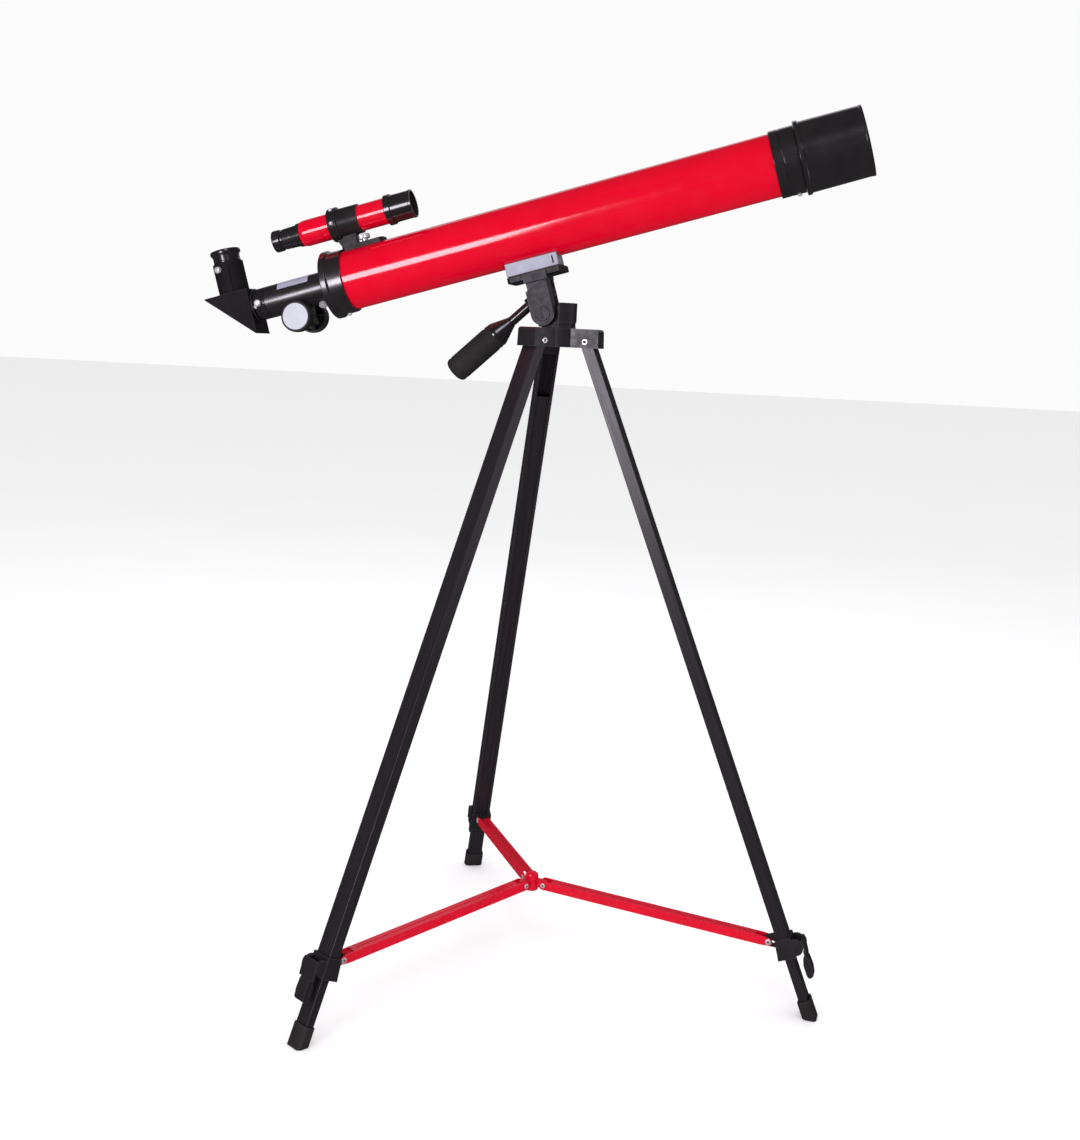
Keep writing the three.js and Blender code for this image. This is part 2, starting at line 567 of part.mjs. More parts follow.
function kneeSlot() {
  const [dx, dz] = [3.9, -2.8];
  const middle = box([0, Math.hypot(dx, dz)], [-5, 5], [-2.1, 2.1]);
  middle.rotateY(Math.atan2(-dz, dx)).translate(KNEE_X, 0, KNEE_Z);
  return join(
    middle,
    rod(2.1, [KNEE_X, -5, KNEE_Z], [KNEE_X, 5, KNEE_Z], 12),
    rod(2.1, [KNEE_X + dx, -5, KNEE_Z + dz], [KNEE_X + dx, 5, KNEE_Z + dz], 12),
  );
}

function addClamp(leg, number) {
  const { top, bottom, innerTop, innerBottom, outer, halfWide } = COLLAR;
  const { x, z, ear } = CAM;
  const sleeve = slab([
    [outer, bottom], [outer, top], [innerTop, top], [innerBottom, bottom],
  ], [-halfWide, halfWide]);
  const upperRoom = box([-UPPER.halfThick - GAP, UPPER.halfThick + GAP],
    [-UPPER.halfWide - GAP, UPPER.halfWide + GAP], [bottom + 4.2, top + 1]);
  const lowerRoom = box([-LOWER.halfThick - GAP, LOWER.halfThick + GAP],
    [-LOWER.halfWide - GAP, LOWER.halfWide + GAP], [bottom - 1, top]);
  const window = box([UPPER.halfThick, outer + 1], [-6.9, 6.9], [z - 4.6, z + 4.6]);
  const ears = [[-10.8, -7], [7, 10.8]].map((span) => join(
    rod(ear, [x, span[0], z], [x, span[1], z], 28),
    box([outer - 1, x], span, [z - ear, z + ear]),
  ));
  const stubHole = rod(2.4, [x, -9.4, z], [x, 9.4, z], 16);
  // room for the cheeks of the spreader arm and for the heads of its rivet
  const reliefs = [-1, 1].map((side) => box([-20, -6.75], [4.5, 7.4], [top - 8.5, top + 1])
    .translate(0, side < 0 ? -11.9 : 0, 0));
  const body = join(cut(sleeve, ...reliefs), ...ears, kneeLug());
  const clamp = cut(body, upperRoom, lowerRoom, window, stubHole, kneeSlot());
  put(leg, `leg_clamp_${number}`, clamp, BLACK_SATIN);
}

// The lever hangs over the cam, and swings outwards and up to let the lower leg slide.
function addClampLever(leg, number) {
  const { x, z, ear, cover } = CAM;
  const cam = rod(3.1, [x, -6.7, z], [x, 6.7, z], 20);
  const stub = rod(2.1, [x, -9, z], [x, 9, z], 16);
  const shell = slab([
    ...arc(x, z, cover, 34, -25, 8), [x + 7.6, z - 12], [x + 6, z - 12],
    ...arc(x, z, ear + 0.35, -38, 34, 8),
  ], [-10.4, 10.4]);
  const rib = box([x, x + ear + 0.9], [-6.5, 6.5], [z - 2, z + 1.6]);
  const pad = slab([
    [x + 7.4, z - 10.5], [x + 8.5, z - 15], [x + 8.8, z - 24], [x + 7.6, z - 31],
    [x + 4.6, z - 32.6], [x + 2.3, z - 31.8], [x + 1.5, z - 28], [x + 1.6, z - 19],
    [x + 3.6, z - 12.5], [x + 6, z - 10.5],
  ], [-6.8, 6.8]);
  put(leg, `clamp_lever_${number}`, join(cam, stub, shell, rib, pad), BLACK_SATIN);
}

function addLeg(part, number, azimuth) {
  const spoke = new THREE.Group();
  spoke.rotation.z = azimuth * RAD;
  part.add(spoke);
  const leg = new THREE.Group();
  leg.position.set(LEG_PIVOT.r, 0, LEG_PIVOT.z);
  leg.rotation.y = -LEG_TILT;
  spoke.add(leg);
  addUpperLeg(leg, number);
  addLowerLeg(leg, number);
  addFoot(leg, number);
  addClamp(leg, number);
  addClampLever(leg, number);
  const pin = rivet(2, CROWN.halfWidth + GAP, 3.1, 0.9);
  put(spoke, `leg_rivet_${number}`, pin.translate(LEG_PIVOT.r, 0, LEG_PIVOT.z), CHROME);
  addArm(spoke, number);
}

// An arm's frame has its origin at the hub pivot and +X along the arm.
function addArm(spoke, number) {
  const arm = new THREE.Group();
  arm.position.set(HUB_PIVOT.r, 0, HUB_PIVOT.z);
  arm.rotation.y = ARM_SLOPE;
  spoke.add(arm);
  const { halfWide, halfHigh, wall, endRadius } = ARM;
  const outline = [
    ...arc(0, 0, halfHigh, 90, 270, 8), [ARM_LENGTH - 7, -halfHigh],
    ...arc(ARM_LENGTH, 0, endRadius, -90, 90, 8), [ARM_LENGTH - 7, halfHigh],
  ];
  const side = slab(outline, [-halfWide, halfWide]);
  const inside = halfWide - wall;
  const hollow = box([-BIG, BIG], [-inside, inside], [-halfHigh - 1, halfHigh - wall]);
  const innerNotch = box([-20, 8], [-inside, inside], [-10, 10]);
  const outerNotch = box([ARM_LENGTH - 13, ARM_LENGTH + 20], [-inside, inside], [-10, 10]);
  const groove = box([12, ARM_LENGTH - 18], [-0.8, 0.8], [halfHigh - 0.5, halfHigh + 1]);
  const holes = [[0, 1.7], [ARM_LENGTH, 1.9]].map(([x, radius]) => (
    rod(radius, [x, -10, 0], [x, 10, 0], 12)
  ));
  const body = cut(side, hollow, innerNotch, outerNotch, groove, ...holes);
  put(arm, `spreader_arm_${number}`, body, RED);
  put(arm, `hub_rivet_${number}`, rivet(1.4, halfWide + 0.2, 2.7, 0.8), CHROME);
  const { radius, head, headHigh } = KNEE_RIVET;
  const kneeRivet = rivet(radius, halfWide + 0.2, head, headHigh).translate(ARM_LENGTH, 0, 0);
  put(arm, `knee_rivet_${number}`, kneeRivet, CHROME);
}

function addHub(part) {
  const { r, z } = HUB_PIVOT;
  const cap = turned([
    [z - 7.5, 0], [z - 7.5, 6.2], [z - 6.5, 6.7], [z + 7, 6.7], [z + 9, 6], [z + 10.4, 4],
    [z + 11, 0],
  ], 24);
  const post = aimed(cap, [0, 0, 0], [0, 0, 1]);
  const tongue = () => join(
    box([0, r], [-2.5, 2.5], [z - 4, z + 4]),
    rod(4, [r, -2.5, z], [r, 2.5, z], 16),
  );
  const pinHole = () => rod(1.7, [r, -5, z], [r, 5, z], 12);
  const spin = (geometry, azimuth) => geometry.rotateZ(azimuth * RAD);
  const tongues = LEG_AZIMUTHS.map((azimuth) => spin(tongue(), azimuth));
  const holes = LEG_AZIMUTHS.map((azimuth) => spin(pinHole(), azimuth));
  put(part, 'spreader_hub', cut(join(post, ...tongues), ...holes), RED);
}

// ---------------------------------------------------------------- the whole

// Everything, about the tripod's centre.
const standing = new THREE.Group();

const tube = new THREE.Group();
tube.position.z = TUBE_HEIGHT;
tube.rotation.y = -TUBE_ELEVATION * RAD;
standing.add(tube);

addMainTube(tube);
addRearCollar(tube);
addFocuser(tube);
addDrawTube(tube);
addFocusDrive(tube);
addDiagonal(tube);
addEyepiece(tube);
addFinder(tube);
addFinderBracket(tube);
addSaddle(tube);
addTiltBody(tube);
addTiltBolt(tube);
addHandle(tube);
addPanBase(standing);
addCrown(standing);
LEG_AZIMUTHS.forEach((azimuth, index) => addLeg(standing, index + 1, azimuth));
addHub(standing);

const middle = new THREE.Box3().setFromObject(standing, true).getCenter(new THREE.Vector3());
standing.position.set(-middle.x, -middle.y, 0);

const part = new THREE.Group();
part.add(standing);

export default part;
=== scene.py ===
"""Looks for a small refracting telescope on a folding tripod.

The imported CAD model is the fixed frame. Round pieces are turned again with smooth sides,
the other pieces are softened copies of their CAD nodes, and small fittings are added.
Lengths are in millimetres unless a comment says otherwise, and are turned into metres where
objects are made. s runs forward along the tube from over the tripod, and t up from its axis.
"""

import json
import math

import bmesh
import bpy
from mathutils import Matrix, Vector


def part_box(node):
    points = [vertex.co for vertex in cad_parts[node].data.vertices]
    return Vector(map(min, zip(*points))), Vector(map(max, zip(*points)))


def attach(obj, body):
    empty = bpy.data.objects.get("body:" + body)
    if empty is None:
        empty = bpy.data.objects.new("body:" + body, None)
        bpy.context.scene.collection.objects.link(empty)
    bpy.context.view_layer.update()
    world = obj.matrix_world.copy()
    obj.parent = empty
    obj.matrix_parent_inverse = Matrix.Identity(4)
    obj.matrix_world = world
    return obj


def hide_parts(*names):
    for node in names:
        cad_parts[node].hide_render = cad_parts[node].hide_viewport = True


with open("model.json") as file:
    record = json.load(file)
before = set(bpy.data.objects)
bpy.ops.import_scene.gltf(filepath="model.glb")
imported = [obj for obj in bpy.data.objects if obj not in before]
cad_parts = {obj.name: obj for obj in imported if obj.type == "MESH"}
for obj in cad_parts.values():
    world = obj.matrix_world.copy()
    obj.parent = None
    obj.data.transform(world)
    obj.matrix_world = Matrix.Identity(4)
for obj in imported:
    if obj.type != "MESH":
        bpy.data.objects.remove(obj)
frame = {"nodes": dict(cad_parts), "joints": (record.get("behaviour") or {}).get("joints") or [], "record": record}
bpy.context.view_layer.update()

MM = 0.001

# ---------------------------------------------------------------- driving numbers

SIDES = 96                        # round a turned piece
SOFT_EDGE = 0.5                   # how far the edges of a softened CAD piece are rounded
SHARP = math.radians(32)          # edges below this angle are shaded smooth
FLAT = math.radians(1)            # CAD faces that turn by less than this become one face
WELD = 0.004                      # points of a CAD mesh nearer than this become one point
EDGE_WEAR = 1.2                   # how far from an edge a finish looks worn
EDGE_MATCH = (0.85, 0.985)        # likeness of rounded and true normals, at an edge and off it
NOISE_RANGE = (0.3, 0.7)          # where nearly all values of a noise texture lie
LEG_COUNT = 3
BOTH_SIDES = (("near", -1), ("far", 1))

PIVOT_S = -351                    # the diagonal's centre
TUBE = {"rear": -237.2, "front": 212, "radius": 30, "wall": 1.4}
FINDER_T = 57.9                   # the finder's axis
FINDER = {"rear": -264, "front": -163, "ring": -226.4}
KNOB = {"s": -281.5, "t": -24.1, "radius": 15.6, "inner": 17.5, "outer": 29.5}
LABEL = {"rear": -300, "front": -266, "radius": 16.35, "degrees": (12, 58)}

CAMERA_PLACE = (300.7, -1406.3, 632.0)
CAMERA_HEADING = 13.764           # degrees from looking along +Y
CAMERA_PITCH = -4.8945
CAMERA_ROLL = 2.531
CAMERA_LENS = 45.426              # for a 36 mm sensor along the frame's long side
CAMERA_SHIFT = (0.0588, -0.0944)
PANEL_COLOR = (0.96, 0.9, 1.0)
PANELS = (                        # name, place, target, size in metres, power in watts
    ("key", (-775, -2400, 610), (-50, 0, 690), (0.75, 0.8), 27),
    ("high", (800, -2400, 2350), (0, 0, 650), (0.9, 0.9), 16),
    ("right", (2300, 350, 700), (0, 0, 450), (1.0, 1.4), 5),
    ("back", (-300, 2200, 1900), (0, 0, 600), (2.5, 1.2), 6),
)
WORLD_LIGHT = 0.95                # how strongly the white surroundings light the object
WORLD_GLOSS = 0.04                # and how bright they are in its reflections
WORLD_SEEN = 0.97                 # and behind it
FLOOR_REACH = 20                  # metres from the middle of the floor to its sides

# sockets of a Mix node have one name for every type, so they are known by number
FLOAT_A, FLOAT_B, FLOAT_RESULT = 2, 3, 0
COLOR_A, COLOR_B, COLOR_RESULT = 6, 7, 2

# ---------------------------------------------------------------- places from the frame

JOINTS = {joint["name"]: joint for joint in frame["joints"]}


def place(origin, x, z):
    """A frame in metres with its x axis along x and its z axis as near z as it can be."""
    x = Vector(x).normalized()
    y = Vector(z).cross(x).normalized()
    z = x.cross(y)
    matrix = Matrix((x, y, z)).transposed().to_4x4()
    matrix.translation = Vector(origin)
    return matrix


def tube_place():
    along = -Vector(JOINTS["draw_slide"]["axis"])
    across = Vector(JOINTS["eyepiece_slide"]["axis"])
    pivot = Vector(JOINTS["diagonal_turn"]["pos_m"])
    return place(pivot - along * PIVOT_S * MM, along, across)


def leg_place(number):
    """x points outwards across the leg, and z up along it."""
    up = -Vector(JOINTS[f"leg_{number}_extend"]["axis"])
    outwards = Vector(JOINTS[f"leg_{number}_fold"]["axis"]).cross(up)
    return place(JOINTS[f"leg_{number}_fold"]["pos_m"], outwards, up)


def box_middle(node):
    low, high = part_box(node)
    return (low + high) / 2


def arm_place(number):
    start = Vector(JOINTS[f"arm_{number}_fold"]["pos_m"])
    return place(start, box_middle(f"knee_rivet_{number}") - start, (0, 0, 1))


def hinge_place(name, towards=(0, 0, 1)):
    return place(JOINTS[name]["pos_m"], JOINTS[name]["axis"], towards)


def moved(matrix, x=0, y=0, z=0):
    return matrix @ Matrix.Translation(Vector((x, y, z)) * MM)


def aimed(matrix, direction, towards=(1, 0, 0)):
    """The same origin, with x turned along a direction given in that frame."""
    return matrix @ place((0, 0, 0), direction, towards)


def radial(matrix, s, radius, degrees):
    """A place on a round tube, pointing out of it, at an angle from z towards -y."""
    angle = math.radians(degrees)
    out = (0, -math.sin(angle), math.cos(angle))
    return aimed(moved(matrix, s, out[1] * radius, out[2] * radius), out)


TUBE_PLACE = tube_place()
FINDER_PLACE = moved(TUBE_PLACE, z=FINDER_T)
HANDLE_PLACE = hinge_place("handle_twist")

# ---------------------------------------------------------------- materials


class Look:
    """A procedural material. Its textures are in the piece's own place, in metres."""

    def __init__(self, name, color, roughness, metallic=0.0):
        self.material = bpy.data.materials.new(name)
        self.material.use_nodes = True
        self.tree = self.material.node_tree
        self.surface = self.tree.nodes["Principled BSDF"]
        self.color = color
        self.set(Base_Color=(*color, 1), Roughness=roughness, Metallic=metallic)
        self.where = self.node("ShaderNodeTexCoord").outputs["Object"]

    def set(self, **values):
        for key, value in values.items():
            self.surface.inputs[key.replace("_", " ")].default_value = value

    def node(self, kind, **properties):
        node = self.tree.nodes.new(kind)
        for key, value in properties.items():
            setattr(node, key, value)
        return node

    def link(self, output, socket):
        self.tree.links.new(output, socket)

    def noise(self, scale, detail=3.0, stretch=(1, 1, 1)):
        mapping = self.node("ShaderNodeMapping")
        mapping.inputs["Scale"].default_value = stretch
        self.link(self.where, mapping.inputs["Vector"])
        noise = self.node("ShaderNodeTexNoise")
        noise.inputs["Scale"].default_value = scale
        noise.inputs["Detail"].default_value = detail
        self.link(mapping.outputs["Vector"], noise.inputs["Vector"])
        return noise.outputs["Fac"]

    def lines(self, scale, axis):
        wave = self.node("ShaderNodeTexWave", wave_type="BANDS", bands_direction=axis)
        wave.inputs["Scale"].default_value = scale
        self.link(self.where, wave.inputs["Vector"])
        return wave.outputs["Fac"]

    def edges(self):
        """1 along edges, where a rounder edge would face another way, and 0 elsewhere."""
        rounder = self.node("ShaderNodeBevel", samples=4)
        rounder.inputs["Radius"].default_value = EDGE_WEAR * MM
        alike = self.node("ShaderNodeVectorMath", operation="DOT_PRODUCT")
        self.link(rounder.outputs["Normal"], alike.inputs[0])
        self.link(self.node("ShaderNodeNewGeometry").outputs["Normal"], alike.inputs[1])
        return self.between(alike.outputs["Value"], 1.0, 0.0, EDGE_MATCH)

    def between(self, value, low, high, source=NOISE_RANGE):
        spread = self.node("ShaderNodeMapRange")
        spread.inputs["From Min"].default_value = source[0]
        spread.inputs["From Max"].default_value = source[1]
        spread.inputs["To Min"].default_value = low
        spread.inputs["To Max"].default_value = high
        self.link(value, spread.inputs["Value"])
        return spread.outputs["Result"]

    def vary_roughness(self, value, low, high):
        self.link(self.between(value, low, high), self.surface.inputs["Roughness"])

    def vary_color(self, value, other, source=NOISE_RANGE):
        mix = self.node("ShaderNodeMix", data_type="RGBA")
        self.link(self.between(value, 0, 1, source), mix.inputs["Factor"])
        current = self.surface.inputs["Base Color"]
        if current.links:
            self.link(current.links[0].from_socket, mix.inputs[COLOR_A])
        else:
            mix.inputs[COLOR_A].default_value = (*self.color, 1)
        mix.inputs[COLOR_B].default_value = (*other, 1)
        self.link(mix.outputs[COLOR_RESULT], current)

    def bump(self, value, strength, depth):
        bump = self.node("ShaderNodeBump")
        bump.inputs["Strength"].default_value = strength
        bump.inputs["Distance"].default_value = depth * MM
        self.link(value, bump.inputs["Height"])
        current = self.surface.inputs["Normal"]
        if current.links:
            self.link(current.links[0].from_socket, bump.inputs["Normal"])
        self.link(bump.outputs["Normal"], current)


def tube_paint():
    look = Look("red_gloss_paint", (0.61, 0.0, 0.016), 0.13)
    look.set(Coat_Weight=0.4, Coat_Roughness=0.08, Specular_IOR_Level=0.4)
    look.vary_color(look.noise(6), (0.55, 0.0, 0.014))
    look.vary_roughness(look.noise(60), 0.1, 0.17)
    look.bump(look.noise(450, 1), 0.02, 0.02)
    return look.material


def red_moulding():
    look = Look("red_moulded_plastic", (0.6, 0.0, 0.018), 0.24)
    look.set(Coat_Weight=0.2, Coat_Roughness=0.16, Specular_IOR_Level=0.3)
    look.vary_color(look.noise(25), (0.53, 0.0, 0.016))
    look.vary_color(look.edges(), (0.66, 0.006, 0.025), (0.3, 1))
    look.vary_roughness(look.noise(180), 0.2, 0.3)
    look.bump(look.noise(600, 1), 0.03, 0.02)
    return look.material


def black_gloss(name="black_gloss_plastic", rough=0.2, specular=0.5):
    look = Look(name, (0.009, 0.008, 0.009), rough)
    look.set(Coat_Weight=0.7, Coat_Roughness=0.14, Specular_IOR_Level=specular)
    look.vary_color(look.noise(40), (0.014, 0.012, 0.013))
    look.vary_roughness(look.noise(90), rough - 0.04, rough + 0.06)
    look.bump(look.noise(900, 1), 0.03, 0.03)
    return look.material


def black_grained(name="black_grained_plastic", color=(0.011, 0.0095, 0.011),
                  rough=0.4, specular=0.28):
    look = Look(name, color, rough)
    look.set(Specular_IOR_Level=specular)
    look.vary_color(look.noise(30), tuple(1.5 * c for c in color))
    look.vary_color(look.edges(), tuple(4 * c for c in color), (0.2, 1))
    look.vary_roughness(look.noise(140), rough - 0.06, rough + 0.1)
    look.bump(look.noise(2600, 2), 0.22, 0.06)
    return look.material


# flat black for the linings inside tubes, and also painted shade inside the saddle slot and the rivet hollows
def flat_black():
    look = Look("matt_black_lining_and_painted_shade", (0.006, 0.006, 0.006), 0.95)
    look.vary_color(look.noise(300), (0.012, 0.011, 0.011))
    look.bump(look.noise(4000), 0.3, 0.1)
    return look.material


def drawn_tube():
    look = Look("black_drawn_tube", (0.0135, 0.011, 0.0135), 0.26, 0.1)
    look.set(Specular_IOR_Level=0.3)
    streaks = look.noise(40, 3, (14, 14, 0.3))
    look.vary_color(streaks, (0.02, 0.0165, 0.02))
    look.vary_color(look.edges(), (0.06, 0.055, 0.06), (0.5, 1))
    look.vary_roughness(look.noise(200, 3, (4, 4, 0.1)), 0.22, 0.32)
    look.bump(look.lines(190, "Y"), 0.1, 0.03)
    look.bump(look.noise(900, 2, (3, 3, 0.05)), 0.1, 0.03)
    return look.material


def dull_rubber():
    look = Look("black_rubber", (0.011, 0.01, 0.01), 0.7)
    look.set(Specular_IOR_Level=0.3)
    look.vary_color(look.noise(35), (0.018, 0.016, 0.016))
    look.vary_color(look.edges(), (0.05, 0.046, 0.045), (0.2, 1))
    look.vary_roughness(look.noise(160), 0.62, 0.85)
    look.bump(look.noise(2200, 3), 0.35, 0.1)
    return look.material


def silver_paint():
    look = Look("silver_paint", (0.29, 0.3, 0.35), 0.45, 0.4)
    look.set(Specular_IOR_Level=0.3)
    look.vary_color(look.noise(2500, 1), (0.38, 0.39, 0.45))
    look.vary_color(look.noise(20), (0.27, 0.28, 0.33))
    look.vary_roughness(look.noise(90), 0.42, 0.5)
    look.bump(look.noise(1800, 2), 0.12, 0.04)
    return look.material


def knob_disc():
    look = Look("pale_spun_disc", (0.42, 0.43, 0.48), 0.5)
    look.set(Specular_IOR_Level=0.15)
    look.vary_color(look.noise(60), (0.46, 0.47, 0.52))
    look.vary_roughness(look.noise(900, 2, (0.05, 1, 1)), 0.42, 0.58)
    look.bump(look.noise(1400, 2), 0.08, 0.03)
    return look.material


def turned_steel():
    look = Look("turned_steel", (0.5, 0.5, 0.52), 0.28, 1.0)
    look.vary_roughness(look.noise(800, 2, (3, 0.2, 0.2)), 0.2, 0.38)
    look.bump(look.noise(2500, 1, (3, 0.1, 0.1)), 0.12, 0.03)
    return look.material


def polished_metal():
    look = Look("polished_metal", (0.86, 0.85, 0.86), 0.28, 0.65)
    look.vary_color(look.noise(120), (0.78, 0.77, 0.78))
    look.vary_roughness(look.noise(260), 0.22, 0.34)
    look.bump(look.noise(900, 2), 0.04, 0.03)
    return look.material


def coated_glass():
    look = Look("coated_glass", (0.82, 0.95, 0.9), 0.02)
    look.set(Transmission_Weight=1.0, IOR=1.52, Coat_Weight=0.5, Coat_Tint=(0.6, 0.9, 0.75, 1))
    look.vary_roughness(look.noise(30), 0.01, 0.03)
    return look.material


def silvered_mirror():
    look = Look("silvered_mirror", (0.93, 0.94, 0.94), 0.02, 1.0)
    look.vary_roughness(look.noise(25), 0.01, 0.04)
    return look.material


def plain_label():
    look = Look("plain_grey_label", (0.27, 0.27, 0.35), 0.45)
    look.set(Specular_IOR_Level=0.2)
    look.vary_color(look.noise(90, 4), (0.34, 0.34, 0.43))
    look.vary_roughness(look.noise(200), 0.3, 0.5)
    look.bump(look.noise(1200), 0.08, 0.02)
    return look.material


LOOKS = {
    "red_paint": tube_paint(),
    "red_plastic": red_moulding(),
    "black_gloss": black_gloss(),
    "black_satin": black_grained(),
    "black_tube": drawn_tube(),
    "rubber": dull_rubber(),
    "silver": silver_paint(),
    "steel": turned_steel(),
    "bright_metal": polished_metal(),
    "glass": coated_glass(),
    "mirror": silvered_mirror(),
}
SEMI_GLOSS = black_gloss("black_semigloss_plastic", 0.3, 0.9)
CROWN_BLACK = black_grained("black_crown_moulding", (0.011, 0.0095, 0.011), 0.34, 0.4)
CASTING = black_grained("grey_grained_casting", (0.018, 0.016, 0.021), 0.38, 0.25)
DARK_CASTING = black_grained("dark_grained_casting", (0.0082, 0.0066, 0.0084), 0.45, 0.03)
BRACKET_BLACK = black_grained("black_moulded_bracket", (0.012, 0.0095, 0.01), 0.3, 0.12)
BRACKET = black_grained("grey_moulded_bracket", (0.035, 0.034, 0.042), 0.4)
LINING_AND_SHADE = flat_black()
DISC = knob_disc()
LABEL_FILM = plain_label()
SLOTS = {row["node"]: row["material_slot"] for row in frame["record"]["subparts"]}
BODIES = {node: body for body, nodes in frame["record"]["behaviour"]["bodies"].items()
          for node in nodes}

# ---------------------------------------------------------------- making pieces


def settle(obj, soft=SOFT_EDGE):
    """Rounds the edges a little and shades the rest smooth."""
    mesh = obj.data
    mesh.polygons.foreach_set("use_smooth", [True] * len(mesh.polygons))
    mesh.set_sharp_from_angle(angle=SHARP)
    if soft:
        bevel = obj.modifiers.new("soft edges", "BEVEL")
        bevel.width = soft * MM
        bevel.segments = 3
        bevel.limit_method = "ANGLE"
        bevel.angle_limit = SHARP
        bevel.harden_normals = True
        bevel.use_clamp_overlap = True
        flat = obj.modifiers.new("flat faces", "WEIGHTED_NORMAL")
        flat.keep_sharp = True


def piece(name, mesh, matrix, body, slot, look=None, nodes=(), soft=SOFT_EDGE):
    """A mesh made in the frame of matrix, riding on a body and standing for CAD nodes."""
    obj = bpy.data.objects.new(name, mesh)
    bpy.context.scene.collection.objects.link(obj)
    obj.matrix_world = matrix
    if not mesh.materials:
        mesh.materials.append(look or LOOKS[slot])
    settle(obj, soft)
    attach(obj, body)
    if nodes:
        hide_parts(*nodes)
    return obj


def mesh_of(builder, name):
    bmesh.ops.recalc_face_normals(builder, faces=builder.faces)
    mesh = bpy.data.meshes.new(name)
    builder.to_mesh(mesh)
    builder.free()
    return mesh


def softened(node, matrix=None, look=None, soft=SOFT_EDGE):
    """A copy of a CAD node with whole faces and rounded edges."""
    matrix = matrix or Matrix.Identity(4)
    builder = bmesh.new()
    builder.from_mesh(frame["nodes"][node].data)
    builder.transform(matrix.inverted())
    bmesh.ops.remove_doubles(builder, verts=builder.verts, dist=WELD * MM)
    bmesh.ops.dissolve_limit(builder, angle_limit=FLAT, verts=builder.verts,
                             edges=builder.edges)
    for face in builder.faces:
        face.material_index = 0
    mesh = mesh_of(builder, f"{node}_soft")
    return piece(f"{node}_soft", mesh, matrix, BODIES[node], SLOTS[node], look, (node,), soft)


def fluted(radius, angle, along, flutes):
    """The radius where lengthwise flutes (from, to, count, depth) are cut."""
    for start, end, count, depth in flutes:
        if start <= along <= end:
            radius -= depth * (0.5 + 0.5 * math.cos(count * angle))
    return radius


def turned(name, profile, sides=SIDES, flutes=(), lined=None):
    """A mesh turned about x from (along, radius) points, closed on itself or on the axis.

    lined is the number of the first point of the inner wall, which gets the second look.
    """
    builder = bmesh.new()
    rings = []
    for along, radius in profile:
        if radius == 0:
            rings.append([builder.verts.new((along * MM, 0, 0))])
            continue
        ring = []
        for step in range(sides):
            angle = 2 * math.pi * step / sides
            r = fluted(radius, angle, along, flutes) * MM
            ring.append(builder.verts.new((along * MM, r * math.cos(angle), r * math.sin(angle))))
        rings.append(ring)
    closed = profile[0][1] > 0
    pairs = list(zip(rings, rings[1:])) + ([(rings[-1], rings[0])] if closed else [])
    for number, (one, two) in enumerate(pairs):
        for step in range(sides):
            after = (step + 1) % sides
            corners = [one[step % len(one)], two[step % len(two)],
                       two[after % len(two)], one[after % len(one)]]
            face = builder.faces.new(list(dict.fromkeys(corners)))
            face.material_index = int(lined is not None and number >= lined)
    return mesh_of(builder, name)


def turned_piece(name, profile, matrix, node, look=None, lining=None, soft=0.35, **shape):
    mesh = turned(name, profile, **shape)
    if shape.get("lined") is not None:
        mesh.materials.append(look or LOOKS[SLOTS[node]])
        mesh.materials.append(lining or LINING_AND_SHADE)
    return piece(name, mesh, matrix, BODIES[node], SLOTS[node], look, (node,), soft)


def fitting(name, profile, matrix, body, slot, look=None, soft=0.15, **shape):
    """A small turned piece that the CAD model doesn't have."""
    return piece(name, turned(name, profile, **shape), matrix, body, slot, look, (), soft)


def block(name, size, matrix, body, slot, look=None, soft=0.3):
    """A small block about its middle, with rounded edges."""
    builder = bmesh.new()
    bmesh.ops.create_cube(builder, size=1)
    bmesh.ops.scale(builder, vec=Vector(size) * MM, verts=builder.verts)
    return piece(name, mesh_of(builder, name), matrix, body, slot, look, (), soft)


def plate(name, outline, span, matrix, body, slot, look=None, soft=0.3):
    """An outline in x and z, given thickness along y over a span."""
    builder = bmesh.new()
    sides = [[builder.verts.new(Vector((x, y, z)) * MM) for x, z in outline] for y in span]
    for side in sides:
        builder.faces.new(side)
    count = len(outline)
    for k in range(count):
        after = (k + 1) % count
        builder.faces.new([sides[0][k], sides[0][after], sides[1][after], sides[1][k]])
    return piece(name, mesh_of(builder, name), matrix, body, slot, look, (), soft)


def bent_sheet(name, radius, span, degrees, thick, matrix, body, slot, look, steps=16):
    """A sheet wrapped round x between two angles measured from z towards -y."""
    builder = bmesh.new()
    rows = []
    for step in range(steps + 1):
        angle = math.radians(degrees[0] + (degrees[1] - degrees[0]) * step / steps)
        row = []
        for x in span:
            for r in (radius, radius + thick):
                at = (x, -r * math.sin(angle), r * math.cos(angle))
                row.append(builder.verts.new(Vector(at) * MM))
        rows.append([row[0], row[1], row[3], row[2]])
    for one, two in zip(rows, rows[1:]):
        for k in range(4):
            builder.faces.new([one[k], one[(k + 1) % 4], two[(k + 1) % 4], two[k]])
    builder.faces.new(rows[0])
    builder.faces.new(rows[-1])
    return piece(name, mesh_of(builder, name), matrix, body, slot, look, (), 0.05)


# ---------------------------------------------------------------- optical tube


def add_main_tube():
    rear, front, radius, wall = TUBE["rear"], TUBE["front"], TUBE["radius"], TUBE["wall"]
    turned_piece("main_tube_painted", [
        (rear, radius - 0.3), (rear + 0.3, radius), (front - 0.3, radius), (front, radius - 0.3),
        (front, radius - wall), (rear, radius - wall),
    ], TUBE_PLACE, "main_tube", soft=0.15, lined=4)


